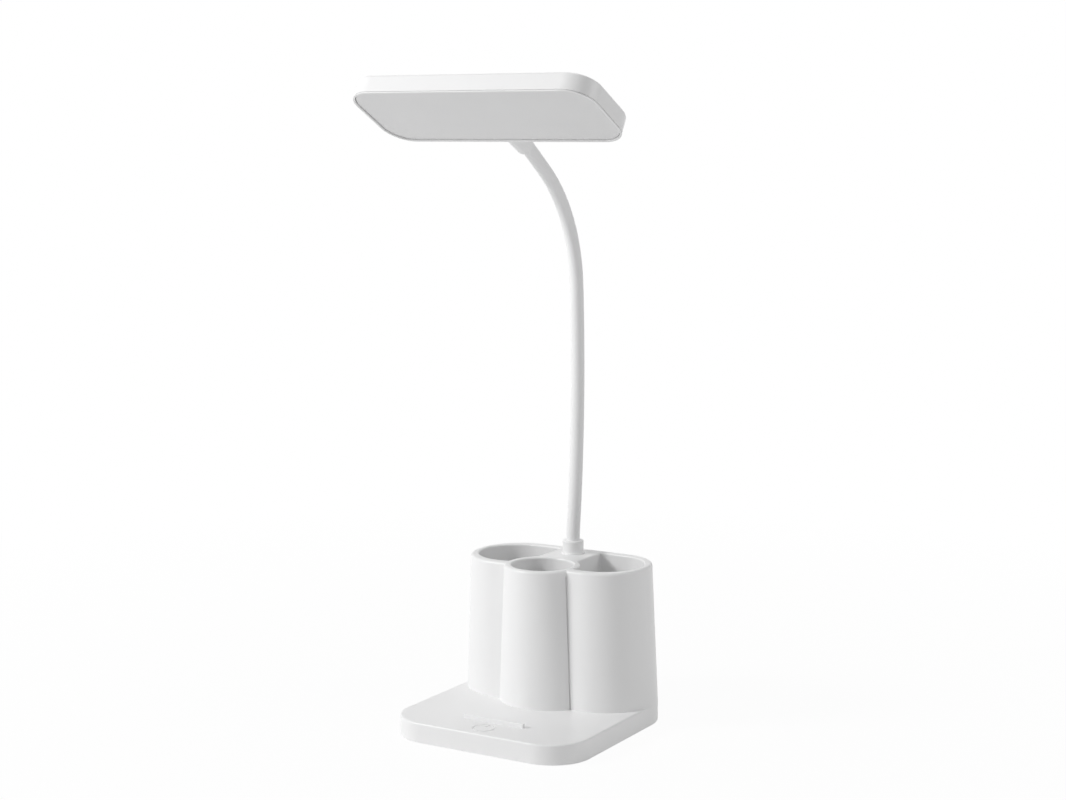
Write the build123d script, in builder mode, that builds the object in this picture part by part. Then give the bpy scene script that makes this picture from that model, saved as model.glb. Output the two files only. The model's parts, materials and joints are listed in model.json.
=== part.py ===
from build123d import *
import math
import os

os.makedirs("parts", exist_ok=True)

# Desk lamp with a pen holder: a weighted base with three cups, a bendable neck and a flat tilted head.
# Millimetres. +Z is up, +X is the user's right, -Y faces the user.
# The origin is on the desk, at the centre of the base.

# Running clearances and fits
fit_gap = 0.05
slip_gap = 0.2
joint_gap = 0.3
cut_overrun = 1.0

# Base plate
base_width = 121.6
base_depth = 130.0
front_corner_radius = 24.0
deck_top = 12.0
deck_skin = 2.2
wall = 2.2
deck_edge_round = 1.2
skirt_gap = 0.4
pad_thickness = 1.0
pad_inset = 4.0
pad_round = 0.3
cover_thickness = 2.0

# Pen holder: its block and front cup narrow from the deck up to the rim
holder_rim = 94.0
block_corner_radius = 31.4
block_front_y = 1.9
rim_block_width = 113.2
rim_block_corner = 27.2
rim_block_front_y = 2.2
rim_block_rear_y = 61.3
front_cup_radius = 29.6
front_cup_y = 18.7
rim_cup_radius = 23.3
rim_cup_y = 12.3
side_well_radius = 24.1
side_well_x = 28.8
side_well_y = 31.8
front_well_radius = 18.3
front_well_y = 10.8
rim_round = 1.6
well_rim_round = 1.0
well_corner_round = 1.2
spine_half_width = 13.6
well_wall = 2.0
cup_web = 3.6
groove_radius = 0.45
groove_depth = 0.65
groove_setback = 0.5
groove_top_gap = 3.0
groove_run_out = 2.0
well_gap_top = 12.0
roof_thickness = 3.0
spine_front_y = 31.5
spine_rear_y = 59.0

# Phone stop and touch key on the deck
stop_length = 40.0
stop_thickness = 2.2
stop_height = 2.6
stop_y = -42.9
stop_end_round = 0.8
stop_top_round = 0.5
key_y = -54.0
key_radius = 6.5
key_stroke = 0.8
key_depth = 0.5
key_bar_length = 5.2
key_gap_width = 3.4

# Fasteners of the base
boss_radius = 3.5
cover_screw_radius = 1.25
cover_screw_head = 2.4
cover_screw_head_height = 1.2
cover_screw_length = 6.0
cover_screw_x = 46.0
cover_screw_front_y = -50.0
cover_screw_rear_y = 48.0
board_screw_radius = 0.95
board_screw_head = 1.7
board_screw_head_height = 1.1
board_screw_bite = 1.4
standoff_height = 0.8
standoff_radius = 2.2

# Steel ballast
ballast_width = 38.0
ballast_length = 70.0
ballast_height = 5.0
ballast_inner_x = 15.0
ballast_y = 5.0
ballast_corner = 4.0

# Battery in the spine of the holder
cell_radius = 9.1
cell_length = 65.0
cell_y = 44.0
cell_edge_round = 0.8
contact_thickness = 0.3
contact_top_radius = 4.0
contact_bottom_radius = 7.5
cradle_plate = 1.6
cradle_ring_height = 6.0
cradle_ring_wall = 1.2
cradle_leg_radius = 1.2
cradle_leg_x = 9.4
cradle_leg_front_y = 35.0
cradle_leg_rear_y = 56.4
lead_radius = 0.55
lead_bend = 1.5
lead_plus_x = 5.0
lead_plus_y = 56.4
lead_minus_y = 50.0

# Circuit boards
board_thickness = 1.6
charge_board_width = 14.0
charge_board_length = 16.4
charge_board_rear_y = 62.4
charge_screw_x = 4.8
charge_screw_y = 48.4
chip_height = 1.0
charge_chip_size = 4.0
charge_chip_y = 53.6
usb_width = 8.9
usb_length = 7.3
usb_height = 3.2
usb_shell = 0.3
usb_round = 1.2
usb_tongue = 0.7
usb_tongue_width = 6.7
usb_tongue_length = 4.6
usb_hole_margin = 0.3
touch_board_width = 40.0
touch_board_length = 14.4
touch_screw_x = 16.0
touch_chip_width = 6.0
touch_chip_length = 5.0
touch_chip_x = -9.0
touch_pad_radius = 5.0
touch_pad_thickness = 0.4
spring_radius = 3.2
spring_wire = 0.3
spring_pitch = 1.1
ribbon_width = 4.8
ribbon_thickness = 0.6
ribbon_lap = 3.0

# Bendable neck: a steel core in a soft sleeve, held in a threaded gland in the holder's roof
neck_radius = 4.0
core_radius = 2.1
neck_y = 46.6
neck_root = 12.0
neck_lean = 5.8
lower_bend_radius = 898.0
lower_bend_length = 148.7
upper_bend_radius = 90.1
upper_bend_length = 79.0
tip_bend_radius = 2000.0
tip_bend_length = 24.2
lower_segments = 4
upper_segments = 3
collar_radius = 6.3
collar_foot_radius = 7.0
collar_foot_height = 1.1
collar_foot_round = 0.4
collar_height = 8.0
collar_round = 0.7
gland_radius = 3.1
gland_top = 2.0
gland_bottom = 11.0
washer_radius = 6.2
washer_thickness = 0.8
nut_across_flats = 10.0
nut_height = 4.0
core_tail = 9.5

# Lamp head, drawn on its own tilted underside
head_tilt = 27.9
head_width = 153.0
head_depth = 56.8
head_thickness = 11.3
head_corner_radius = 15.5
head_edge_round = 1.6
head_rim_round = 0.15
head_wall = 1.1
head_seam_z = 0.5
head_seam_height = 0.4
head_seam_depth = 0.6
head_top_skin = 1.8
diffuser_thickness = 1.8
diffuser_recess = 0.9
diffuser_ledge = 1.4
diffuser_gap = 0.35
diffuser_round = 0.3
led_board_corner = 10.0
led_board_thickness = 1.2
led_board_drop = 1.0
led_end_gap = 6.4
led_front_gap = 0.3
led_rear_gap = 12.2
led_boss_radius = 3.0
led_columns = 12
led_rows = 2
led_size = 2.8
led_height = 0.7
led_end_margin = 7.5
led_row_share = 0.52
led_screw_inset = 8.0
led_screw_bite = 0.8
socket_length = 18.05
socket_rise = 0.4
socket_setback = 1.2
socket_root_radius = 5.2
socket_end_radius = 5.1
socket_end_round = 0.4
socket_bore_depth = 14.0
tongue_width = 16.0
tongue_height = 6.0
tongue_length = 9.0
tongue_throat = 9.0
head_lead_reach = 2.6

# Places that follow from the sizes
foot_z = deck_top - deck_edge_round
deck_under = deck_top - deck_skin
cover_top = pad_thickness + cover_thickness
tower_height = holder_rim - foot_z
spine_room = spine_half_width - well_wall
roof_under = holder_rim - roof_thickness
board_under = cover_top + standoff_height
board_top = board_under + board_thickness
root_top = holder_rim + neck_root
cup_sides = (-1, 1)


def save(builder, name):
    """Label the finished piece and write it to its own file."""
    builder.part.label = name
    export_step(builder.part, f"parts/{name}.step")


def base_outline(inset):
    """The base seen from above, drawn inside its edge by the inset."""
    Rectangle(base_width - 2 * inset, base_depth - 2 * inset)
    fillet(vertices().group_by(Axis.Y)[0], front_corner_radius - inset)
    fillet(vertices().group_by(Axis.Y)[-1], block_corner_radius - inset)


def drafted(foot, rim, height):
    """A size of the holder at a height, from its sizes at the foot and at the rim."""
    return foot + (rim - foot) * (height - foot_z) / tower_height


def block_sketch(inset, height):
    """Plan of the holder's block with the side cups, drawn inside its faces by the inset."""
    width = drafted(base_width, rim_block_width, height)
    corner = drafted(block_corner_radius, rim_block_corner, height)
    front_y = drafted(block_front_y, rim_block_front_y, height)
    rear_y = drafted(base_depth / 2, rim_block_rear_y, height)
    with BuildSketch(Plane.XY.offset(height)) as plan:
        with Locations((0, (front_y + rear_y) / 2)):
            RectangleRounded(width - 2 * inset, rear_y - front_y - 2 * inset, corner - inset)
    return plan.sketch


def front_cup_sketch(inset, height):
    """Plan of the front cup, drawn inside its face by the inset."""
    with BuildSketch(Plane.XY.offset(height)) as plan:
        with Locations((0, drafted(front_cup_y, rim_cup_y, height))):
            Circle(drafted(front_cup_radius, rim_cup_radius, height) - inset)
    return plan.sketch


def groove_sketch(side, height, radius):
    """Plan of the narrow groove in the front cup's flank, just before it meets the block."""
    cup_y = drafted(front_cup_y, rim_cup_y, height)
    cup_reach = drafted(front_cup_radius, rim_cup_radius, height)
    cup_back = cup_y - drafted(block_front_y, rim_block_front_y, height)
    mouth_turn = math.asin(cup_back / cup_reach) + groove_setback / cup_reach
    with BuildSketch(Plane.XY.offset(height)) as plan:
        for reach in (cup_reach, cup_reach - groove_depth):
            with Locations((side * reach * math.cos(mouth_turn), cup_y - reach * math.sin(mouth_turn))):
                Circle(radius)
        make_hull()
    return plan.sketch


def side_well_sketch(side, grow):
    """A side cup's hollow: a round well with a flat inner wall and a flat rear wall."""
    radius = side_well_radius + grow
    inner = spine_half_width - grow
    with Locations((side * side_well_x, side_well_y)):
        Circle(radius)
    with Locations((side * (inner - radius / 2), side_well_y)):
        Rectangle(radius, 3 * radius, mode=Mode.SUBTRACT)
    with Locations((side * (inner + side_well_x) / 2, side_well_y + radius / 2)):
        Rectangle(side_well_x - inner, radius)


# Upper housing: the deck and the pen holder are one moulding, open underneath
hollow_top = holder_rim - well_gap_top
with BuildPart() as tower_hollow:
    loft([block_sketch(wall, deck_under), block_sketch(wall, hollow_top)], ruled=True)
    loft([front_cup_sketch(wall, deck_under), front_cup_sketch(wall, hollow_top)], ruled=True)
    for side in cup_sides:
        with BuildSketch(Plane.XY.offset(deck_under)):
            side_well_sketch(side, well_wall)
        extrude(amount=holder_rim - deck_under, mode=Mode.SUBTRACT)
    with BuildSketch(Plane.XY.offset(deck_under)):
        with Locations((0, front_well_y)):
            Circle(front_well_radius + well_wall)
    extrude(amount=holder_rim - deck_under, mode=Mode.SUBTRACT)

with BuildPart() as cup_block:
    loft([block_sketch(0, foot_z), block_sketch(0, holder_rim)], ruled=True)
    fillet(faces().sort_by(Axis.Z)[-1].edges(), rim_round)

with BuildPart() as front_cup:
    loft([front_cup_sketch(0, foot_z), front_cup_sketch(0, holder_rim)], ruled=True)
    fillet(faces().sort_by(Axis.Z)[-1].edges(), rim_round)

with BuildPart() as upper_housing:
    with BuildSketch(Plane.XY.offset(skirt_gap)):
        base_outline(0)
    extrude(amount=deck_top - skirt_gap)
    fillet(faces().sort_by(Axis.Z)[-1].edges(), deck_edge_round)
    add([cup_block.part, front_cup.part])
    for side in cup_sides:
        with BuildSketch(Plane.XY.offset(deck_top)):
            side_well_sketch(side, 0)
            with Locations((0, front_well_y)):
                Circle(front_well_radius + cup_web, mode=Mode.SUBTRACT)
            fillet(vertices(), well_corner_round)
        extrude(amount=holder_rim, mode=Mode.SUBTRACT)
    with BuildSketch(Plane.XY.offset(deck_top)):
        with Locations((0, front_well_y)):
            Circle(front_well_radius)
    extrude(amount=holder_rim, mode=Mode.SUBTRACT)
    fillet(faces().filter_by(Axis.Z).sort_by(Axis.Z)[-1].inner_wires().edges(), well_rim_round)
    groove_top = holder_rim - groove_top_gap
    for side in cup_sides:
        sections = [groove_sketch(side, deck_top, groove_radius)]
        sections += [groove_sketch(side, groove_top - groove_run_out, groove_radius)]
        sections += [groove_sketch(side, groove_top, groove_radius / 3)]
        loft(sections, ruled=True, mode=Mode.SUBTRACT)
    # Hollow underside, double walls and the battery chamber in the spine
    with BuildSketch(Plane.XY.offset(skirt_gap)):
        base_outline(wall)
    extrude(amount=deck_under - skirt_gap, mode=Mode.SUBTRACT)
    add(tower_hollow.part, mode=Mode.SUBTRACT)
    with BuildSketch(Plane.XY.offset(deck_under)):
        with Locations((0, (spine_front_y + spine_rear_y) / 2)):
            Rectangle(2 * spine_room, spine_rear_y - spine_front_y)
    extrude(amount=roof_under - deck_under, mode=Mode.SUBTRACT)
    # Bosses for the bottom screws
    with BuildSketch(Plane.XY.offset(cover_top)):
        for y in (cover_screw_front_y, cover_screw_rear_y):
            with Locations(*[(side * cover_screw_x, y) for side in cup_sides]):
                Circle(boss_radius)
                Circle(cover_screw_radius + fit_gap, mode=Mode.SUBTRACT)
    extrude(amount=deck_under - cover_top + deck_skin / 2)
    with BuildSketch(Plane.XY.offset(cover_top)):
        for y in (cover_screw_front_y, cover_screw_rear_y):
            with Locations(*[(side * cover_screw_x, y) for side in cup_sides]):
                Circle(cover_screw_radius + fit_gap)
    extrude(amount=deck_under - cover_top, mode=Mode.SUBTRACT)
    # Raised stop for a phone's lower edge
    with BuildSketch(Plane.XY.offset(deck_top - deck_skin / 2)):
        with Locations((0, stop_y)):
            RectangleRounded(stop_length, stop_thickness, stop_end_round)
    extrude(amount=stop_height + deck_skin / 2)
    stop_crest = faces().filter_by(Axis.Z).filter_by_position(Axis.Z, deck_top, deck_top + 2 * stop_height)
    fillet(stop_crest.sort_by(Axis.Y)[0].edges(), stop_top_round)
    # Engraved touch key: a broken ring and a short bar
    with BuildSketch(Plane.XY.offset(deck_top - key_depth)):
        with Locations((0, key_y)):
            Circle(key_radius)
            Circle(key_radius - key_stroke, mode=Mode.SUBTRACT)
        with Locations((0, key_y + key_radius)):
            Rectangle(key_gap_width, key_radius, mode=Mode.SUBTRACT)
        with Locations((0, key_y + key_radius - key_bar_length / 2)):
            Rectangle(key_stroke, key_bar_length)
    extrude(amount=key_depth + cut_overrun, mode=Mode.SUBTRACT)
    # Opening for the charging socket in the rear wall, and the hole for the neck's gland in the roof
    with BuildSketch(Plane.XZ.offset(-base_depth / 2 + 2 * wall)):
        with Locations((0, board_top + usb_height / 2)):
            RectangleRounded(usb_width + 2 * usb_hole_margin, usb_height + 2 * usb_hole_margin, usb_round)
    extrude(amount=-3 * wall, mode=Mode.SUBTRACT)
    with Locations((0, neck_y, roof_under)):
        Cylinder(gland_radius + slip_gap, 3 * roof_thickness, mode=Mode.SUBTRACT)
save(upper_housing, "upper_housing")

# Bottom cover with countersunk screw holes and board standoffs
with BuildPart() as bottom_cover:
    with BuildSketch(Plane.XY.offset(pad_thickness)):
        base_outline(wall + slip_gap)
    extrude(amount=cover_thickness)
    for y in (cover_screw_front_y, cover_screw_rear_y):
        with Locations(*[(side * cover_screw_x, y, pad_thickness) for side in cup_sides]):
            Cylinder(
                cover_screw_head + slip_gap,
                cover_screw_head_height,
                align=(Align.CENTER, Align.CENTER, Align.MIN),
                mode=Mode.SUBTRACT,
            )
            Cylinder(cover_screw_radius + slip_gap, 3 * cover_thickness, mode=Mode.SUBTRACT)
    standoffs = [(side * charge_screw_x, charge_screw_y) for side in cup_sides]
    standoffs += [(side * touch_screw_x, key_y) for side in cup_sides]
    with BuildSketch(Plane.XY.offset(cover_top)):
        with Locations(*standoffs):
            Circle(standoff_radius)
    extrude(amount=standoff_height)
    with BuildSketch(Plane.XY.offset(board_under)):
        with Locations(*standoffs):
            Circle(board_screw_radius + fit_gap)
    extrude(amount=-(board_screw_bite + standoff_height), mode=Mode.SUBTRACT)
save(bottom_cover, "bottom_cover")

# Soft pad that stands on the desk
with BuildPart() as antislip_pad:
    with BuildSketch(Plane.XY):
        base_outline(pad_inset)
    extrude(amount=pad_thickness)
    fillet(faces().sort_by(Axis.Z)[0].edges(), pad_round)
save(antislip_pad, "antislip_pad")

# Four screws hold the cover to the bosses, under the pad
screw_number = 0
for y in (cover_screw_front_y, cover_screw_rear_y):
    for side in cup_sides:
        screw_number += 1
        with BuildPart() as cover_screw:
            with BuildSketch(Plane.XY.offset(pad_thickness)):
                with Locations((side * cover_screw_x, y)):
                    Circle(cover_screw_head)
            extrude(amount=cover_screw_head_height)
            with BuildSketch(Plane.XY.offset(pad_thickness)):
                with Locations((side * cover_screw_x, y)):
                    Circle(cover_screw_radius)
            extrude(amount=cover_screw_length)
        save(cover_screw, f"cover_screw_{screw_number}")

# Two steel plates on the cover keep the lamp from tipping
for side, name in ((-1, "ballast_left"), (1, "ballast_right")):
    with BuildPart() as ballast:
        with BuildSketch(Plane.XY.offset(cover_top)):
            with Locations((side * (ballast_inner_x + ballast_width / 2), ballast_y)):
                RectangleRounded(ballast_width, ballast_length, ballast_corner)
        extrude(amount=ballast_height)
    save(ballast, name)

# Cradle: a plate on four legs that closes the chamber and holds the foot of the battery
cradle_floor = deck_under + cradle_plate
with BuildPart() as battery_cradle:
    with BuildSketch(Plane.XY.offset(deck_under)):
        with Locations((0, (spine_front_y + spine_rear_y) / 2)):
            Rectangle(2 * (spine_room - slip_gap), spine_rear_y - spine_front_y - 2 * slip_gap)
        with Locations((lead_plus_x, lead_plus_y), (0, lead_minus_y)):
            Circle(2 * lead_radius, mode=Mode.SUBTRACT)
    extrude(amount=cradle_plate)
    with BuildSketch(Plane.XY.offset(cradle_floor)):
        with Locations((0, cell_y)):
            Circle(cell_radius + slip_gap + cradle_ring_wall)
            Circle(cell_radius + slip_gap, mode=Mode.SUBTRACT)
    extrude(amount=cradle_ring_height)
    with BuildSketch(Plane.XY.offset(cover_top)):
        for y in (cradle_leg_front_y, cradle_leg_rear_y):
            with Locations(*[(side * cradle_leg_x, y) for side in cup_sides]):
                Circle(cradle_leg_radius)
    extrude(amount=deck_under - cover_top)
save(battery_cradle, "battery_cradle")

# Contacts and the cell between them
cell_foot = cradle_floor + contact_thickness
cell_head = cell_foot + cell_length
with BuildPart() as cell_contact_bottom:
    with BuildSketch(Plane.XY.offset(cradle_floor)):
        with Locations((0, cell_y)):
            Circle(contact_bottom_radius)
    extrude(amount=contact_thickness)
save(cell_contact_bottom, "cell_contact_bottom")

with BuildPart() as battery_cell:
    with BuildSketch(Plane.XY.offset(cell_foot)):
        with Locations((0, cell_y)):
            Circle(cell_radius)
    extrude(amount=cell_length)
    fillet(edges().filter_by(GeomType.CIRCLE), cell_edge_round)
save(battery_cell, "battery_cell")

with BuildPart() as cell_contact_top:
    with BuildSketch(Plane.XY.offset(cell_head)):
        with Locations((0, cell_y)):
            Circle(contact_top_radius)
    extrude(amount=contact_thickness)
save(cell_contact_top, "cell_contact_top")

# The positive lead runs down behind the cell, the negative one straight down through the plate
lead_height = cell_head + contact_thickness + lead_radius
with BuildPart() as lead_plus:
    with BuildLine() as lead_route:
        FilletPolyline(
            (0, cell_y, lead_height),
            (lead_plus_x, lead_plus_y, lead_height),
            (lead_plus_x, lead_plus_y, board_top),
            radius=lead_bend,
        )
    with BuildSketch(Plane(origin=lead_route.line @ 0, z_dir=lead_route.line % 0)):
        Circle(lead_radius)
    sweep(path=lead_route.line)
save(lead_plus, "lead_plus")

with BuildPart() as lead_minus:
    with BuildSketch(Plane.XY.offset(board_top)):
        with Locations((0, lead_minus_y)):
            Circle(lead_radius)
    extrude(amount=cradle_floor - board_top)
save(lead_minus, "lead_minus")

# Charging board at the rear with its chip, screws and socket
charge_board_y = charge_board_rear_y - charge_board_length / 2
with BuildPart() as charge_board:
    with BuildSketch(Plane.XY.offset(board_under)):
        with Locations((0, charge_board_y)):
            Rectangle(charge_board_width, charge_board_length)
        with Locations(*[(side * charge_screw_x, charge_screw_y) for side in cup_sides]):
            Circle(board_screw_radius + slip_gap, mode=Mode.SUBTRACT)
    extrude(amount=board_thickness)
save(charge_board, "charge_board")

with BuildPart() as charge_chip:
    with BuildSketch(Plane.XY.offset(board_top)):
        with Locations((0, charge_chip_y)):
            Rectangle(charge_chip_size, charge_chip_size)
    extrude(amount=chip_height)
save(charge_chip, "charge_chip")

with BuildPart() as usb_socket:
    with BuildSketch(Plane.XZ.offset(-base_depth / 2 + usb_length)):
        with Locations((0, board_top + usb_height / 2)):
            RectangleRounded(usb_width, usb_height, usb_round)
    extrude(amount=-usb_length)
    with BuildSketch(Plane.XZ.offset(-base_depth / 2 + usb_length - 3 * usb_shell)):
        with Locations((0, board_top + usb_height / 2)):
            RectangleRounded(usb_width - 2 * usb_shell, usb_height - 2 * usb_shell, usb_round - usb_shell)
            Rectangle(usb_tongue_width, usb_tongue, mode=Mode.SUBTRACT)
    extrude(amount=-usb_length, mode=Mode.SUBTRACT)
    with BuildSketch(Plane.XZ.offset(-base_depth / 2 + usb_length - usb_tongue_length - usb_shell)):
        with Locations((0, board_top + usb_height / 2)):
            Rectangle(usb_tongue_width, usb_tongue)
    extrude(amount=-usb_length, mode=Mode.SUBTRACT)
save(usb_socket, "usb_socket")


def board_screw(x, y, name):
    """A small screw through a board into its standoff."""
    with BuildPart() as screw:
        with BuildSketch(Plane.XY.offset(board_top)):
            with Locations((x, y)):
                Circle(board_screw_head)
        extrude(amount=board_screw_head_height)
        with BuildSketch(Plane.XY.offset(board_under - standoff_height)):
            with Locations((x, y)):
                Circle(board_screw_radius)
        extrude(amount=board_top - board_under + standoff_height)
    save(screw, name)


for side, name in ((-1, "charge_screw_1"), (1, "charge_screw_2")):
    board_screw(side * charge_screw_x, charge_screw_y, name)

# Touch board at the front, under the key, with its chip, screws, spring and electrode
with BuildPart() as touch_board:
    with BuildSketch(Plane.XY.offset(board_under)):
        with Locations((0, key_y)):
            Rectangle(touch_board_width, touch_board_length)
        with Locations(*[(side * touch_screw_x, key_y) for side in cup_sides]):
            Circle(board_screw_radius + slip_gap, mode=Mode.SUBTRACT)
    extrude(amount=board_thickness)
save(touch_board, "touch_board")

with BuildPart() as touch_chip:
    with BuildSketch(Plane.XY.offset(board_top)):
        with Locations((touch_chip_x, key_y)):
            Rectangle(touch_chip_width, touch_chip_length)
    extrude(amount=chip_height)
save(touch_chip, "touch_chip")

for side, name in ((-1, "touch_screw_1"), (1, "touch_screw_2")):
    board_screw(side * touch_screw_x, key_y, name)

touch_pad_under = deck_under - touch_pad_thickness
with BuildPart() as touch_pad:
    with BuildSketch(Plane.XY.offset(touch_pad_under)):
        with Locations((0, key_y)):
            Circle(touch_pad_radius)
    extrude(amount=touch_pad_thickness)
save(touch_pad, "touch_pad")

spring_foot = board_top + spring_wire
spring_rise = touch_pad_under - spring_wire - spring_foot
with BuildPart() as touch_spring:
    with BuildLine() as coil:
        Helix(spring_pitch, spring_rise, spring_radius, center=(0, key_y, spring_foot))
    with BuildSketch(Plane(origin=coil.line @ 0, z_dir=coil.line % 0)):
        Circle(spring_wire)
    sweep(path=coil.line, is_frenet=True)
save(touch_spring, "touch_spring")

# Flat cable along the cover between the two boards
ribbon_front_y = key_y + touch_board_length / 2 - ribbon_lap
ribbon_rear_y = charge_board_rear_y - charge_board_length + ribbon_lap
with BuildPart() as ribbon_cable:
    with BuildSketch(Plane.XY.offset(cover_top)):
        with Locations((0, (ribbon_front_y + ribbon_rear_y) / 2)):
            Rectangle(ribbon_width, ribbon_rear_y - ribbon_front_y)
    extrude(amount=ribbon_thickness)
save(ribbon_cable, "ribbon_cable")

# Collar, gland, washer and nut that hold the neck in the holder's roof
with BuildPart() as neck_collar:
    with Locations((0, neck_y, holder_rim)):
        Cylinder(collar_foot_radius, collar_foot_height, align=(Align.CENTER, Align.CENTER, Align.MIN))
        fillet(faces().sort_by(Axis.Z)[-1].edges(), collar_foot_round)
        Cylinder(collar_radius, collar_height, align=(Align.CENTER, Align.CENTER, Align.MIN))
    fillet(faces().sort_by(Axis.Z)[-1].edges(), collar_round)
    with Locations((0, neck_y, holder_rim)):
        Cylinder(neck_radius + fit_gap, 3 * collar_height, mode=Mode.SUBTRACT)
save(neck_collar, "neck_collar")

with BuildPart() as neck_gland:
    with BuildSketch(Plane.XY.offset(holder_rim - gland_bottom)):
        with Locations((0, neck_y)):
            Circle(gland_radius)
            Circle(core_radius + fit_gap, mode=Mode.SUBTRACT)
    extrude(amount=gland_bottom + gland_top)
save(neck_gland, "neck_gland")

with BuildPart() as neck_washer:
    with BuildSketch(Plane.XY.offset(roof_under - washer_thickness)):
        with Locations((0, neck_y)):
            Circle(washer_radius)
            Circle(gland_radius + slip_gap, mode=Mode.SUBTRACT)
    extrude(amount=washer_thickness)
save(neck_washer, "neck_washer")

with BuildPart() as neck_nut:
    with BuildSketch(Plane.XY.offset(roof_under - washer_thickness - nut_height)):
        with Locations((0, neck_y)):
            RegularPolygon(nut_across_flats / 2, 6, major_radius=False)
            Circle(gland_radius + fit_gap, mode=Mode.SUBTRACT)
    extrude(amount=nut_height)
save(neck_nut, "neck_nut")


def arc_end(start, heading, radius, length):
    """The point and heading after an arc in the YZ plane. Headings are in radians from +Y towards +Z."""
    turned = heading + length / radius
    y = start[0] + radius * (math.sin(turned) - math.sin(heading))
    z = start[1] - radius * (math.cos(turned) - math.cos(heading))
    return (y, z), turned


# The neck's pivots: a slight backward lean, an even forward bend, and a nearly straight end below the head
root_heading = math.pi / 2 - math.radians(neck_lean)
spans = [(lower_bend_radius, lower_bend_length / lower_segments)] * lower_segments
spans += [(upper_bend_radius, upper_bend_length / upper_segments)] * upper_segments
spans += [(tip_bend_radius, tip_bend_length)]
pivots = [((neck_y, root_top), root_heading)]
for radius, length in spans:
    pivots.append(arc_end(*pivots[-1], radius, length))


def pivot_point(number):
    (y, z), heading = pivots[number]
    return Vector(0, y, z)


def pivot_direction(number):
    heading = pivots[number][1]
    return Vector(0, math.cos(heading), math.sin(heading))


def segment_route(number, tail):
    """The centre line from one pivot to the next, with a straight tail past the second."""
    radius, length = spans[number]
    middle = arc_end(*pivots[number], radius, length / 2)[0]
    end = pivot_point(number + 1)
    ThreePointArc(pivot_point(number), Vector(0, *middle), end)
    if tail:
        Line(end, end + pivot_direction(number + 1) * tail)


# Each stretch of sleeve and core starts with a hollow round its lower pivot and ends in a ball
seat_radius = neck_radius + joint_gap
for number in range(len(spans)):
    start = Plane(origin=pivot_point(number), z_dir=pivot_direction(number))
    with BuildPart() as bore:
        with BuildLine() as route:
            segment_route(number, 2 * neck_radius)
        with BuildSketch(start):
            Circle(core_radius + fit_gap)
        sweep(path=route.line)
    with BuildPart() as neck_sleeve:
        with BuildLine() as route:
            segment_route(number, 0)
        with BuildSketch(start):
            Circle(neck_radius)
        sweep(path=route.line)
        with Locations(pivot_point(number + 1)):
            Sphere(neck_radius)
        with Locations(pivot_point(number)):
            Sphere(seat_radius, mode=Mode.SUBTRACT)
        add(bore.part, mode=Mode.SUBTRACT)
    save(neck_sleeve, f"neck_sleeve_{number + 1}")
    with BuildPart() as neck_core:
        with BuildLine() as route:
            segment_route(number, core_radius)
        with BuildSketch(start):
            Circle(core_radius)
        sweep(path=route.line)
        with Locations(pivot_point(number)):
            Sphere(seat_radius, mode=Mode.SUBTRACT)
    save(neck_core, f"neck_core_{number + 1}")

# Fixed foot of the neck, in the collar and gland
with BuildPart() as root_sleeve:
    with BuildSketch(Plane.XY.offset(holder_rim + gland_top)):
        with Locations((0, neck_y)):
            Circle(neck_radius)
    extrude(amount=neck_root - gland_top)
    with Locations(pivot_point(0)):
        Sphere(neck_radius)
        Cylinder(core_radius + fit_gap, 4 * neck_root, mode=Mode.SUBTRACT)
save(root_sleeve, "root_sleeve")

with BuildPart() as root_core:
    with BuildSketch(Plane.XY.offset(holder_rim - core_tail)):
        with Locations((0, neck_y)):
            Circle(core_radius)
    extrude(amount=core_tail + neck_root + core_radius)
save(root_core, "root_core")

# The head's frame: origin at the middle of its underside, X to the right, Y to the rear, Z out of its top
mouth = pivot_point(-1)
forward = Vector(0, -math.cos(math.radians(head_tilt)), math.sin(math.radians(head_tilt)))
top_normal = Vector(0, math.sin(math.radians(head_tilt)), math.cos(math.radians(head_tilt)))
socket_height = head_thickness / 2 + socket_rise
head_origin = mouth + forward * (socket_length + head_depth / 2) - top_normal * socket_height
head_plane = Plane(origin=head_origin, x_dir=(1, 0, 0), z_dir=top_normal)
head_inner_top = head_thickness - head_top_skin


def head_outline(inset, mode=Mode.ADD):
    """The head's rounded outline, drawn inside its edge by the inset."""
    RectangleRounded(head_width - 2 * inset, head_depth - 2 * inset, head_corner_radius - inset, mode=mode)


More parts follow.
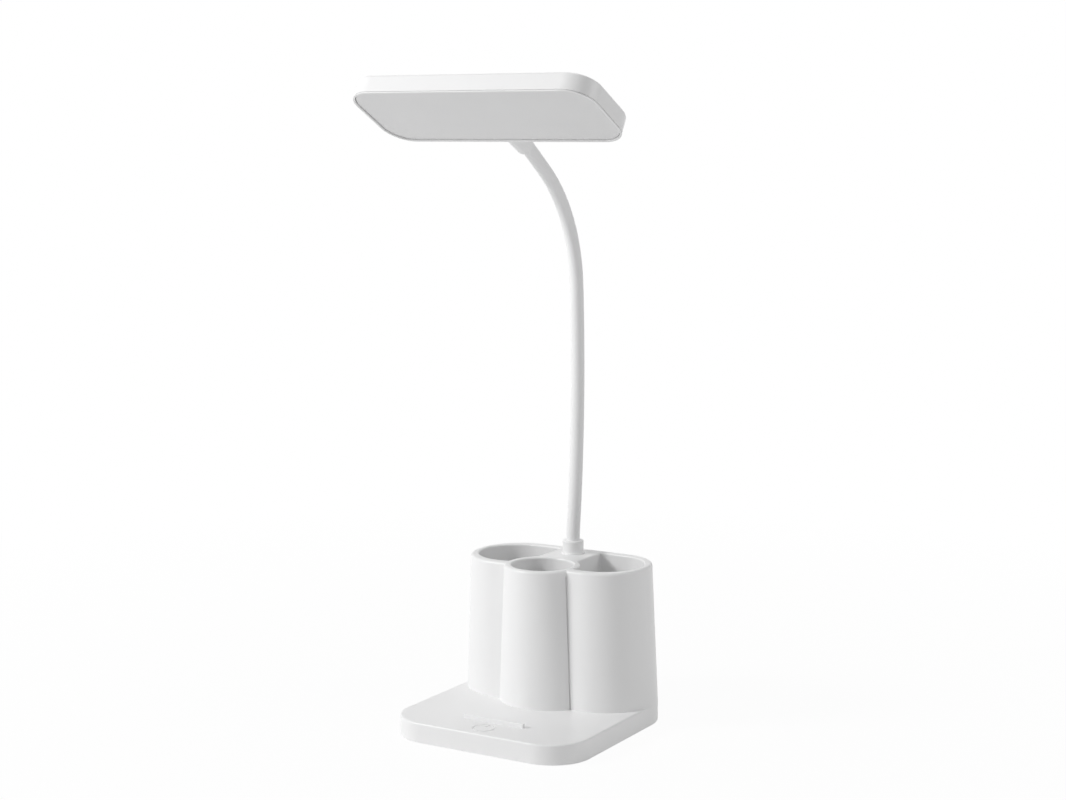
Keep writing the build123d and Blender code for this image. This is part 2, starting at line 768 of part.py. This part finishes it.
# The light board's size and places follow from the head's inside
head_inset = head_wall + diffuser_ledge
led_board_top = head_inner_top - led_board_drop
led_board_width = head_width - 2 * (head_inset + led_end_gap)
led_board_length = head_depth - 2 * head_inset - led_front_gap - led_rear_gap
led_board_v = (led_front_gap - led_rear_gap) / 2
led_column_pitch = (led_board_width - 2 * led_end_margin) / (led_columns - 1)
led_row_pitch = led_row_share * led_board_length
led_screw_u = led_board_width / 2 - led_screw_inset
with BuildPart() as head_shell:
    with BuildSketch(head_plane):
        head_outline(0)
    extrude(amount=head_thickness)
    fillet(faces().sort_by(Axis(head_origin, top_normal))[-1].edges(), head_edge_round)
    fillet(faces().sort_by(Axis(head_origin, top_normal))[0].edges(), head_rim_round)
    with BuildSketch(head_plane.offset(head_seam_z)):
        head_outline(0)
        head_outline(head_seam_depth, Mode.SUBTRACT)
    extrude(amount=head_seam_height, mode=Mode.SUBTRACT)
    with BuildSketch(head_plane):
        head_outline(head_wall)
    extrude(amount=diffuser_recess + diffuser_thickness, mode=Mode.SUBTRACT)
    with BuildSketch(head_plane):
        head_outline(head_inset)
    extrude(amount=head_inner_top, mode=Mode.SUBTRACT)
    with BuildSketch(head_plane.offset(led_board_top)):
        with Locations(*[(side * led_screw_u, led_board_v) for side in cup_sides]):
            Circle(led_boss_radius)
    extrude(amount=led_board_drop + head_top_skin / 2)
    with BuildSketch(head_plane.offset(led_board_top)):
        with Locations(*[(side * led_screw_u, led_board_v) for side in cup_sides]):
            Circle(board_screw_radius + fit_gap)
    extrude(amount=led_board_drop + led_screw_bite, mode=Mode.SUBTRACT)
    with BuildSketch(head_plane.offset(socket_height - tongue_height / 2)):
        with Locations((0, head_depth / 2)):
            Rectangle(tongue_throat + 2 * slip_gap, 4 * head_inset)
    extrude(amount=tongue_height, mode=Mode.SUBTRACT)
save(head_shell, "head_shell")

# Frosted plate set into the underside, seated on the shell's ledge
with BuildPart() as diffuser:
    with BuildSketch(head_plane.offset(diffuser_recess)):
        head_outline(head_wall + diffuser_gap)
    extrude(amount=diffuser_thickness)
    fillet(faces().sort_by(Axis(head_origin, top_normal))[0].edges(), diffuser_round)
save(diffuser, "diffuser")

# Light board under two bosses, with its lamps facing down
with BuildPart() as led_board:
    with BuildSketch(head_plane.offset(led_board_top - led_board_thickness)):
        with Locations((0, led_board_v)):
            RectangleRounded(led_board_width, led_board_length, led_board_corner)
        with Locations(*[(side * led_screw_u, led_board_v) for side in cup_sides]):
            Circle(board_screw_radius + slip_gap, mode=Mode.SUBTRACT)
    extrude(amount=led_board_thickness)
save(led_board, "led_board")

with BuildPart() as led_array:
    with BuildSketch(head_plane.offset(led_board_top - led_board_thickness - led_height)):
        with Locations((0, led_board_v)):
            with GridLocations(led_column_pitch, led_row_pitch, led_columns, led_rows):
                Rectangle(led_size, led_size)
    extrude(amount=led_height)
save(led_array, "led_array")

for side, name in ((-1, "led_screw_1"), (1, "led_screw_2")):
    with BuildPart() as led_screw:
        with BuildSketch(head_plane.offset(led_board_top - led_board_thickness - board_screw_head_height)):
            with Locations((side * led_screw_u, led_board_v)):
                Circle(board_screw_head)
        extrude(amount=board_screw_head_height)
        with BuildSketch(head_plane.offset(led_board_top - led_board_thickness)):
            with Locations((side * led_screw_u, led_board_v)):
                Circle(board_screw_radius)
        extrude(amount=led_board_thickness + led_board_drop)
    save(led_screw, name)

# Socket: a tapered barrel behind the head, a throat through the rear wall and a tongue inside it
neck_axis = Plane(origin=mouth, x_dir=(1, 0, 0), z_dir=forward)
with BuildPart() as head_socket:
    with BuildSketch(neck_axis.offset(socket_setback)):
        Circle(socket_end_radius)
    with BuildSketch(neck_axis.offset(socket_length)):
        Circle(socket_root_radius)
    loft()
    fillet(faces().sort_by(Axis(mouth, forward))[0].edges(), socket_end_round)
    with BuildSketch(neck_axis.offset(socket_length)):
        Rectangle(tongue_throat, tongue_height - slip_gap)
    extrude(amount=head_inset + slip_gap)
    with BuildSketch(neck_axis.offset(socket_length + head_inset + slip_gap)):
        Rectangle(tongue_width, tongue_height)
    extrude(amount=tongue_length)
    with BuildSketch(neck_axis):
        Circle(neck_radius + fit_gap)
    extrude(amount=socket_bore_depth, mode=Mode.SUBTRACT)
    with BuildSketch(neck_axis):
        Circle(seat_radius)
    extrude(amount=seat_radius, mode=Mode.SUBTRACT)
    with BuildSketch(neck_axis):
        Circle(core_radius + fit_gap)
    extrude(amount=2 * socket_length, mode=Mode.SUBTRACT)
save(head_socket, "head_socket")

# The neck's upper end, fixed in the socket: its hollow clears the last ball
with BuildPart() as tip_sleeve:
    with BuildSketch(neck_axis):
        Circle(neck_radius)
        Circle(core_radius + fit_gap, mode=Mode.SUBTRACT)
    extrude(amount=socket_bore_depth)
    with Locations(mouth):
        Sphere(seat_radius, mode=Mode.SUBTRACT)
save(tip_sleeve, "tip_sleeve")

with BuildPart() as tip_core:
    with BuildSketch(neck_axis):
        Circle(core_radius)
    extrude(amount=socket_length + head_inset + tongue_length + slip_gap + head_lead_reach)
    with Locations(mouth):
        Sphere(seat_radius, mode=Mode.SUBTRACT)
save(tip_core, "tip_core")
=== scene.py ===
"""Desk lamp with a pen holder: finishes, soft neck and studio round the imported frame, in metres."""

import json
import math

import bmesh
import bpy
from mathutils import Matrix, Vector


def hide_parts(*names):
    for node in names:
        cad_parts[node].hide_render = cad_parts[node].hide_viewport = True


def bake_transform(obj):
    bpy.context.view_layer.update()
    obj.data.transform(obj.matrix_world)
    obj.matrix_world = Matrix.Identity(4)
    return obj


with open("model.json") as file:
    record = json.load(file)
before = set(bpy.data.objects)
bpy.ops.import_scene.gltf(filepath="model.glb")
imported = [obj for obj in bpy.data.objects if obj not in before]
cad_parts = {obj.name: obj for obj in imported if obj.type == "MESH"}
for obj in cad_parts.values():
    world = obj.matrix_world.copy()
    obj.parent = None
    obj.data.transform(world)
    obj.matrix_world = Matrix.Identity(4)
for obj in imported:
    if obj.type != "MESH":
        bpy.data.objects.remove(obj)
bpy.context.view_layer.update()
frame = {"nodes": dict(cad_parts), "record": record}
mm = 0.001

# The neck, with the same sizes as in the frame: a straight foot, two bends and a nearly straight tip
neck_radius = 4.0 * mm
neck_y = 46.6 * mm
holder_rim = 94.0 * mm
gland_top = 2.0 * mm
neck_root = 12.0 * mm
neck_lean = math.radians(5.8)
lower_bend_radius = 898.0 * mm
lower_bend_length = 148.7 * mm
upper_bend_radius = 90.1 * mm
upper_bend_length = 79.0 * mm
tip_bend_radius = 2000.0 * mm
tip_bend_length = 24.2 * mm
head_tilt = math.radians(27.9)
lower_stretches = 4
upper_stretches = 3
socket_bore_depth = 14.0 * mm

# How far each side of the first and of the last pivot the neck's turn there is spread
ease_length = 4.0 * mm
tip_ease_length = 1.5 * mm

# The sleeve's mesh: points round each ring, and the distance between rings
ring_sides = 56
ring_step = 1.0 * mm

# Places along the neck are measured from its first pivot
neck_length = lower_bend_length + upper_bend_length + tip_bend_length
neck_start = -(neck_root - gland_top)
neck_finish = neck_length + socket_bore_depth

# What is left of the turn from upright to the head's own tilt is made at the tip
bend_turn = lower_bend_length / lower_bend_radius
bend_turn += upper_bend_length / upper_bend_radius
bend_turn += tip_bend_length / tip_bend_radius
tip_turn = math.pi / 2 - head_tilt + neck_lean - bend_turn

# The photograph's camera: the image size, the focal length in its pixels, and where the camera stands
image_width_px = 1066
focal_px = 1988.89
sensor_width_mm = 36.0
camera_place = Vector((581.61, -969.66, 343.39)) * mm
camera_turn = math.radians(30.96)
camera_dip = math.radians(7.63)
camera_near, camera_far = 0.01, 50.0

# The studio's floor: its share of plain white near the object, and how far out it is all white
floor_half = 6.0
shadow_reach, shadow_white = 0.15, 0.955
white_reach = 0.7

# The world's even fill, and the plain white that shows past the floor
world_grey = (0.8, 0.8, 0.8, 1.0)
world_fill = 0.335
plain_white = (1.0, 1.0, 1.0, 1.0)

# The studio's lamps, which all face one point: name, place, width in metres and power in watts
lamp_aim = Vector((0, 0, 0.2))
studio_lamps = (
    ("window_light", Vector((-1.21, -1.19, 1.06)), 0.5, 21.6),
    ("top_light", Vector((0.0, -0.1, 2.0)), 1.0, 4.5),
    ("side_light", Vector((1.68, 0.61, 0.85)), 0.8, 5.0),
)

# The Mix node's sockets and output for colours, by number, because its others have the same names
mix_share, mix_first, mix_second = 0, 6, 7
mix_result = 2


class Signal:
    """A shader socket that plain arithmetic works on."""

    def __init__(self, wiring, socket):
        self.wiring = wiring
        self.socket = socket

    def reckon(self, operation, *values):
        return self.wiring.node("ShaderNodeMath", {"operation": operation}, dict(enumerate(values)))

    def __add__(self, other):
        return self.reckon("ADD", self, other)

    def __sub__(self, other):
        return self.reckon("SUBTRACT", self, other)

    def __rsub__(self, other):
        return self.reckon("SUBTRACT", other, self)

    def __mul__(self, other):
        return self.reckon("MULTIPLY", self, other)

    __radd__ = __add__
    __rmul__ = __mul__


class Wiring:
    """The node tree of a material or of the world, started afresh."""

    def __init__(self, owner):
        owner.use_nodes = True
        self.tree = owner.node_tree
        self.tree.nodes.clear()

    def node(self, kind, settings, sockets, output=0):
        """Add a node: its settings, then its sockets' values or links. Gives one of its outputs."""
        made = self.tree.nodes.new(kind)
        for key, value in settings.items():
            if key == "stops":
                self.set_stops(made.color_ramp, value)
            else:
                setattr(made, key, value)
        for key, value in sockets.items():
            if isinstance(value, Signal):
                self.tree.links.new(value.socket, made.inputs[key])
            else:
                made.inputs[key].default_value = value
        return Signal(self, made.outputs[output]) if len(made.outputs) else None

    def set_stops(self, ramp, stops):
        """Give a ramp its stops: a place and a grey each."""
        while len(ramp.elements) < len(stops):
            ramp.elements.new(1.0)
        for element, (place, grey) in zip(ramp.elements, stops):
            element.position = place
            element.color = (grey, grey, grey, 1.0)

    def mix(self, share, first, second):
        """One shader that gives way to another as the share goes from 0 to 1."""
        return self.node("ShaderNodeMixShader", {}, {0: share, 1: first, 2: second})


class Finish(Wiring):
    """One material and the nodes that make it."""

    def __init__(self, name):
        self.material = bpy.data.materials.new(name)
        super().__init__(self.material)
        self.here = self.node("ShaderNodeTexCoord", {}, {}, "Object")

    def stretched(self, x, y, z):
        """The object's own coordinates, scaled. A scale under 1 draws a pattern out along that axis."""
        return self.node("ShaderNodeMapping", {}, {"Vector": self.here, "Scale": (x, y, z)})

    def noise(self, per_metre, detail=2.0, roughness=0.5, vector=None):
        """Clouds or grain, with so many to the metre."""
        sockets = {"Vector": vector or self.here, "Scale": per_metre}
        sockets.update({"Detail": detail, "Roughness": roughness})
        return self.node("ShaderNodeTexNoise", {}, sockets, "Fac")

    def cells(self, per_metre):
        """Round cells, from 0 at their middles."""
        sockets = {"Vector": self.here, "Scale": per_metre}
        return self.node("ShaderNodeTexVoronoi", {}, sockets, "Distance")

    def bands(self, direction, per_metre, distortion=0.0):
        """Smooth stripes across a direction."""
        sockets = {"Vector": self.here, "Scale": per_metre, "Distortion": distortion}
        return self.node("ShaderNodeTexWave", {"bands_direction": direction}, sockets, "Fac")

    def ramp(self, value, *stops):
        """A grey that follows a value from stop to stop."""
        return self.node("ShaderNodeValToRGB", {"stops": stops}, {"Fac": value}, "Color")

    def blend(self, share, first, second):
        """One colour that turns into another as the share goes from 0 to 1."""
        sockets = {mix_share: share, mix_first: (*first, 1.0), mix_second: (*second, 1.0)}
        return self.node("ShaderNodeMix", {"data_type": "RGBA"}, sockets, mix_result)

    def shade(self, colour, roughness, relief, depth, **extra):
        """Finish the material, with a relief of a real depth. Extra sockets have underscores for spaces."""
        bump = {"Height": relief, "Distance": depth, "Strength": 1.0}
        sockets = {"Base Color": colour, "Roughness": roughness}
        sockets["Normal"] = self.node("ShaderNodeBump", {}, bump)
        sockets.update({key.replace("_", " "): value for key, value in extra.items()})
        shader = self.node("ShaderNodeBsdfPrincipled", {}, sockets)
        self.node("ShaderNodeOutputMaterial", {}, {"Surface": shader})
        return self.material


def uneven(middle, drift, spread):
    """A value that drifts about its middle."""
    return middle + (drift - 0.5) * spread


def moulded_plastic(name, light, dark, roughness):
    """Satin moulded plastic: a spark-eroded grain, and a tone and sheen that drift a little."""
    finish = Finish(name)
    drift = finish.noise(per_metre=14, detail=3)
    colour = finish.blend(drift, light, dark)
    sheen = uneven(roughness, finish.noise(per_metre=60, detail=3), spread=0.08)
    grain = finish.noise(per_metre=2600, detail=2) * 0.7 + finish.noise(per_metre=700, detail=1) * 0.3
    return finish.shade(colour, sheen, relief=grain, depth=0.02 * mm, Specular_IOR_Level=0.6)


def soft_sleeve():
    """The neck's soft skin: matt, with a very fine even grain."""
    finish = Finish("soft_sleeve")
    drift = finish.noise(per_metre=25, detail=3)
    colour = finish.blend(drift, (0.93, 0.93, 0.933), (0.912, 0.912, 0.915))
    sheen = uneven(0.46, finish.noise(per_metre=90, detail=3), spread=0.1)
    grain = finish.noise(per_metre=2200, detail=2)
    return finish.shade(colour, sheen, relief=grain, depth=0.008 * mm, Specular_IOR_Level=0.4)


def frosted_plate():
    """The light panel: milky plastic with a fine prismatic grain and faint clouds."""
    finish = Finish("frosted_plate")
    clouds = finish.noise(per_metre=45, detail=4, roughness=0.6)
    colour = finish.blend(clouds, (0.88, 0.88, 0.88), (0.85, 0.85, 0.855))
    sheen = uneven(0.5, finish.noise(per_metre=400, detail=2), spread=0.12)
    grain = finish.cells(per_metre=1500)
    return finish.shade(colour, sheen, relief=grain, depth=0.03 * mm, Specular_IOR_Level=0.4)


def foam_pad():
    """Closed-cell foam under the base."""
    finish = Finish("foam_pad")
    cells = finish.cells(per_metre=1100)
    colour = finish.blend(cells, (0.16, 0.16, 0.165), (0.26, 0.26, 0.27))
    return finish.shade(colour, 0.85 + cells * 0.1, relief=cells, depth=0.1 * mm)


def metal(name, light, dark, roughness, stretch=(1, 1, 1), per_metre=900):
    """Worked metal: a fine grain, which a stretch draws out into lines, and an uneven polish."""
    finish = Finish(name)
    lines = finish.noise(per_metre, detail=3, vector=finish.stretched(*stretch))
    colour = finish.blend(lines, light, dark)
    sheen = uneven(roughness, lines, spread=0.2)
    return finish.shade(colour, sheen, relief=lines, depth=0.03 * mm, Metallic=1.0)


def wound_core():
    """The neck's steel spring: tight turns along its length."""
    finish = Finish("wound_core")
    turns = finish.bands("Z", per_metre=160, distortion=0.4)
    colour = finish.blend(turns, (0.30, 0.30, 0.31), (0.62, 0.62, 0.64))
    return finish.shade(colour, 0.32 + turns * 0.1, relief=turns, depth=0.3 * mm, Metallic=1.0)


def circuit_board():
    """Green solder mask with tracks under it."""
    finish = Finish("circuit_board")
    sockets = {"Vector": finish.here, "Scale": 260.0, "Randomness": 0.3}
    cells = finish.node("ShaderNodeTexVoronoi", {"feature": "DISTANCE_TO_EDGE"}, sockets, "Distance")
    tracks = finish.ramp(cells, (0.04, 1.0), (0.1, 0.0))
    colour = finish.blend(tracks, (0.02, 0.14, 0.07), (0.04, 0.25, 0.12))
    sheen = 0.3 + finish.noise(per_metre=300) * 0.1
    return finish.shade(colour, sheen, relief=tracks, depth=0.04 * mm)


def chip_case():
    """Black moulded chips with a sandy face."""
    finish = Finish("chip_case")
    sand = finish.noise(per_metre=4000, detail=2)
    colour = finish.blend(sand, (0.012, 0.012, 0.013), (0.03, 0.03, 0.032))
    return finish.shade(colour, 0.5 + sand * 0.15, relief=sand, depth=0.03 * mm)


def shrunk_film():
    """The cell's film: glossy, with long wrinkles."""
    finish = Finish("shrunk_film")
    wrinkles = finish.noise(per_metre=260, detail=3, vector=finish.stretched(1, 1, 0.08))
    colour = finish.blend(wrinkles, (0.04, 0.13, 0.33), (0.06, 0.19, 0.42))
    return finish.shade(colour, 0.22 + wrinkles * 0.1, relief=wrinkles, depth=0.1 * mm)


def wire_skin(name, light, dark):
    """Soft insulation on a lead."""
    finish = Finish(name)
    drag = finish.noise(per_metre=1500, detail=2)
    colour = finish.blend(drag, light, dark)
    return finish.shade(colour, 0.42 + drag * 0.15, relief=drag, depth=0.02 * mm)


def flat_cable():
    """Parallel conductors in a pale film."""
    finish = Finish("flat_cable")
    strands = finish.bands("X", per_metre=320)
    colour = finish.blend(strands, (0.78, 0.78, 0.74), (0.52, 0.52, 0.50))
    return finish.shade(colour, 0.4 + strands * 0.1, relief=strands, depth=0.1 * mm)


def phosphor():
    """The small lamps' yellow faces in white cases."""
    finish = Finish("phosphor")
    speck = finish.noise(per_metre=1800, detail=2)
    colour = finish.blend(speck, (0.86, 0.72, 0.20), (0.92, 0.82, 0.34))
    return finish.shade(colour, 0.25 + speck * 0.15, relief=speck, depth=0.02 * mm)


finishes = {
    "white_shell": moulded_plastic("white_shell", (0.93, 0.93, 0.93), (0.918, 0.918, 0.92), 0.36),
    "white_sleeve": soft_sleeve(),
    "frosted_plate": frosted_plate(),
    "grey_pad": foam_pad(),
    "ballast_steel": metal(
        "ballast_steel", (0.38, 0.38, 0.40), (0.26, 0.26, 0.28), 0.5, stretch=(1, 0.05, 1), per_metre=500
    ),
    "plated_steel": metal("plated_steel", (0.68, 0.68, 0.70), (0.56, 0.56, 0.60), 0.3),
    "core_steel": wound_core(),
    "circuit_board": circuit_board(),
    "black_chip": chip_case(),
    "nickel_plate": metal(
        "nickel_plate", (0.66, 0.64, 0.60), (0.56, 0.54, 0.50), 0.25, stretch=(1, 0.2, 1)
    ),
    "copper_pad": metal("copper_pad", (0.72, 0.38, 0.22), (0.60, 0.30, 0.17), 0.35),
    "cell_wrap": shrunk_film(),
    "grey_cradle": moulded_plastic("grey_cradle", (0.34, 0.34, 0.35), (0.30, 0.30, 0.31), 0.5),
    "red_lead": wire_skin("red_lead", (0.52, 0.03, 0.02), (0.40, 0.02, 0.02)),
    "black_lead": wire_skin("black_lead", (0.015, 0.015, 0.015), (0.03, 0.03, 0.03)),
    "ribbon": flat_cable(),
    "led_yellow": phosphor(),
}

# Every piece of the frame gets its slot's finish
for piece in frame["record"]["subparts"]:
    mesh = frame["nodes"][piece["node"]].data
    mesh.materials.clear()
    mesh.materials.append(finishes[piece["material_slot"]])


def neck_turn(place):
    """How much the neck's heading turns per metre, at a place along it from its first pivot."""
    if place < -ease_length:
        return 0.0
    if place < ease_length:
        return -neck_lean / (2 * ease_length)
    if place < lower_bend_length:
        return 1 / lower_bend_radius
    if place < lower_bend_length + upper_bend_length:
        return 1 / upper_bend_radius
    if place < neck_length - tip_ease_length:
        return 1 / tip_bend_radius
    if place < neck_length + tip_ease_length:
        return (tip_turn / tip_ease_length + 1 / tip_bend_radius) / 2
    return 0.0


def neck_route():
    """Points and headings along the neck, a ring step apart: (place, y, z, heading)."""
    count = round((neck_finish - neck_start) / ring_step)
    step = (neck_finish - neck_start) / count
    y, z, heading = neck_y, holder_rim + gland_top, math.pi / 2
    route = [(neck_start, y, z, heading)]
    for number in range(count):
        place = neck_start + (number + 0.5) * step
        middle = heading + neck_turn(place) * step / 2
        y += math.cos(middle) * step
        z += math.sin(middle) * step
        heading += neck_turn(place) * step
        route.append((neck_start + (number + 1) * step, y, z, heading))
    return route


def sleeve_stretch(name, route):
    """A smooth tube round part of the route."""
    mesh = bpy.data.meshes.new(name)
    work = bmesh.new()
    rings = []
    for _, y, z, heading in route:
        centre = Vector((0, y, z))
        across = Vector((0, -math.sin(heading), math.cos(heading)))
        ring = []
        for side in range(ring_sides):
            angle = 2 * math.pi * side / ring_sides
            offset = Vector((math.cos(angle), 0, 0)) + across * math.sin(angle)
            ring.append(work.verts.new(centre + offset * neck_radius))
        rings.append(ring)
    for low, high in zip(rings, rings[1:]):
        for side in range(ring_sides):
            after = (side + 1) % ring_sides
            work.faces.new((low[side], low[after], high[after], high[side]))
    bmesh.ops.recalc_face_normals(work, faces=work.faces)
    work.to_mesh(mesh)
    work.free()
    mesh.shade_smooth()
    mesh.materials.append(finishes["white_sleeve"])
    made = bpy.data.objects.new(name, mesh)
    bpy.context.collection.objects.link(made)
    return made


# One stretch of sleeve lies round each pivot, and the stretches meet halfway between pivots
route = neck_route()
lower_step = lower_bend_length / lower_stretches
upper_step = upper_bend_length / upper_stretches
pivots = [stretch * lower_step for stretch in range(lower_stretches)]
pivots += [lower_bend_length + stretch * upper_step for stretch in range(upper_stretches + 1)]
pivots.append(neck_length)
halfway = [neck_start] + [(low + high) / 2 for low, high in zip(pivots, pivots[1:])] + [neck_finish]
seams = [min(range(len(route)), key=lambda index: abs(route[index][0] - place)) for place in halfway]
bodies = ["base"] + [f"neck_{number}" for number in range(1, len(pivots))] + ["head"]
for number, pivot in enumerate(pivots):
    first, last = seams[number], seams[number + 1]
    stretch = sleeve_stretch(f"sleeve_stretch_{number + 1}", route[first : last + 1])
    reach = min(pivot - route[first][0], route[last][0] - pivot)
    turn_start = min(route, key=lambda ring: abs(ring[0] - (pivot - reach)))
    turn_end = min(route, key=lambda ring: abs(ring[0] - (pivot + reach)))
    bodies[number + 1]
    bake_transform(stretch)
    covered = [f"neck_sleeve_{number + 1}"] if number + 1 < len(pivots) else ["tip_sleeve"]
    if number == 0:
        covered.append("root_sleeve")
    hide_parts(*covered)


def white_share(wiring, share):
    """How much plain white a camera, glossy or transmission ray sees."""
    seen = wiring.node("ShaderNodeLightPath", {}, {}, "Is Camera Ray")
    for ray in ("Is Glossy Ray", "Is Transmission Ray"):
        other = wiring.node("ShaderNodeLightPath", {}, {}, ray)
        seen = wiring.node("ShaderNodeMath", {"operation": "MAXIMUM"}, {0: seen, 1: other})
    return seen * share


def studio_floor():
    """A pale floor that reads white to the camera and keeps a soft shadow."""
    finish = Finish("studio_floor")
    grain = finish.noise(per_metre=40, detail=2)
    colour = finish.blend(grain, (0.93, 0.93, 0.93), (0.91, 0.91, 0.91))
    matt = finish.node("ShaderNodeBsdfPrincipled", {}, {"Base Color": colour, "Roughness": 0.9})
    white = finish.node("ShaderNodeEmission", {}, {"Color": plain_white, "Strength": 1.0})
    distance = finish.node("ShaderNodeVectorMath", {"operation": "LENGTH"}, {0: finish.here}, "Value")
    share = finish.ramp(distance, (shadow_reach, shadow_white), (white_reach, 1.0))
    mixed = finish.mix(white_share(finish, share), matt, white)
    finish.node("ShaderNodeOutputMaterial", {}, {"Surface": mixed})
    mesh = bpy.data.meshes.new("studio_floor")
    corners = ((-1, -1), (1, -1), (1, 1), (-1, 1))
    mesh.from_pydata([(floor_half * x, floor_half * y, 0) for x, y in corners], [], [(0, 1, 2, 3)])
    mesh.materials.append(finish.material)
    floor = bpy.data.objects.new("studio_floor", mesh)
    bpy.context.collection.objects.link(floor)


def soft_light(name, place, size, power):
    """A square lamp that faces the object."""
    lamp = bpy.data.lights.new(name, "AREA")
    lamp.shape = "SQUARE"
    lamp.size = size
    lamp.energy = power
    made = bpy.data.objects.new(name, lamp)
    made.location = place
    made.rotation_mode = "QUATERNION"
    made.rotation_quaternion = (lamp_aim - place).to_track_quat("-Z", "Y")
    bpy.context.collection.objects.link(made)


def studio_world():
    """Even fill light, and plain white wherever the camera sees past the floor."""
    world = bpy.data.worlds.new("studio_world")
    bpy.context.scene.world = world
    sky = Wiring(world)
    lit = sky.node("ShaderNodeBackground", {}, {"Color": world_grey, "Strength": world_fill})
    white = sky.node("ShaderNodeBackground", {}, {"Color": plain_white, "Strength": 1.0})
    mixed = sky.mix(white_share(sky, 1.0), lit, white)
    sky.node("ShaderNodeOutputWorld", {}, {"Surface": mixed})


def studio_camera():
    """The photograph's viewpoint."""
    lens = bpy.data.cameras.new("studio_camera")
    lens.sensor_fit = "HORIZONTAL"
    lens.sensor_width = sensor_width_mm
    lens.lens = focal_px / image_width_px * sensor_width_mm
    lens.clip_start, lens.clip_end = camera_near, camera_far
    camera = bpy.data.objects.new("studio_camera", lens)
    right = Vector((math.cos(camera_turn), math.sin(camera_turn), 0))
    back = Vector(
        (
            math.sin(camera_turn) * math.cos(camera_dip),
            -math.cos(camera_turn) * math.cos(camera_dip),
            math.sin(camera_dip),
        )
    )
    up = back.cross(right)
    turn = Matrix((right, up, back)).transposed().to_4x4()
    camera.matrix_world = Matrix.Translation(camera_place) @ turn
    bpy.context.collection.objects.link(camera)
    bpy.context.scene.camera = camera


studio_floor()
studio_world()
for lamp in studio_lamps:
    soft_light(*lamp)
studio_camera()
bpy.context.scene.view_settings.view_transform = "Standard"
